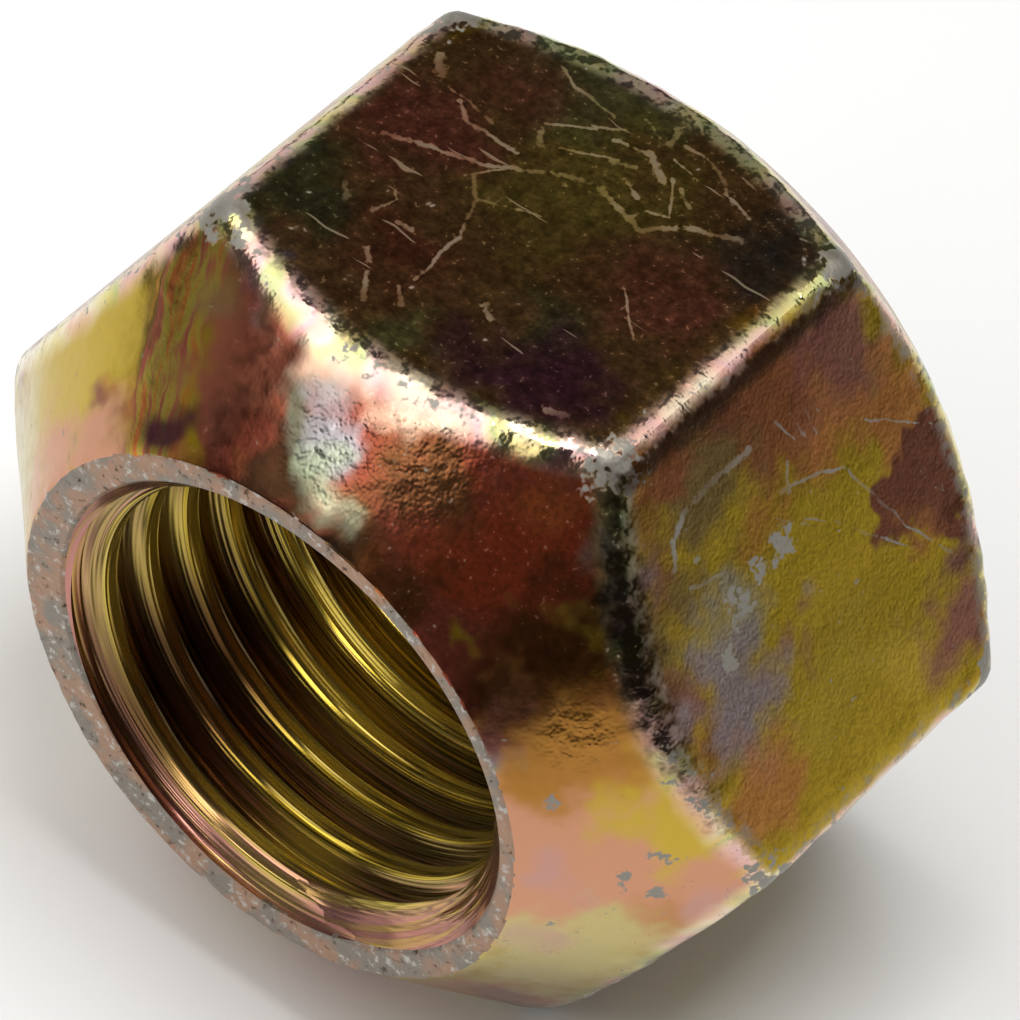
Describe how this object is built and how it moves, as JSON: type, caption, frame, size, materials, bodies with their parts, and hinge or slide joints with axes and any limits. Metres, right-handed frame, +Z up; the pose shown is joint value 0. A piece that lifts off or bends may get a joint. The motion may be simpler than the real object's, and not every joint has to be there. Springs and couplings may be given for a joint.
{
  "type": "lug nut",
  "caption": "Open hexagonal lug nut with a conical seat and a thread right through it, which clamps a wheel onto its stud.",
  "frame": {"origin": "on the thread axis, midway along the nut", "axes": "+Y along the thread axis from the seat end to the rear face, +Z up with a flat facing down, corners towards +X and -X"},
  "size_m": [0.02, 0.0126, 0.0174],
  "materials": {
    "plated_steel": "zinc plate with an iridescent yellow passivate, scuffed at the edges"
  },
  "bodies": {
    "root": {"lug_nut": "plated_steel"}
  },
  "joints": []
}
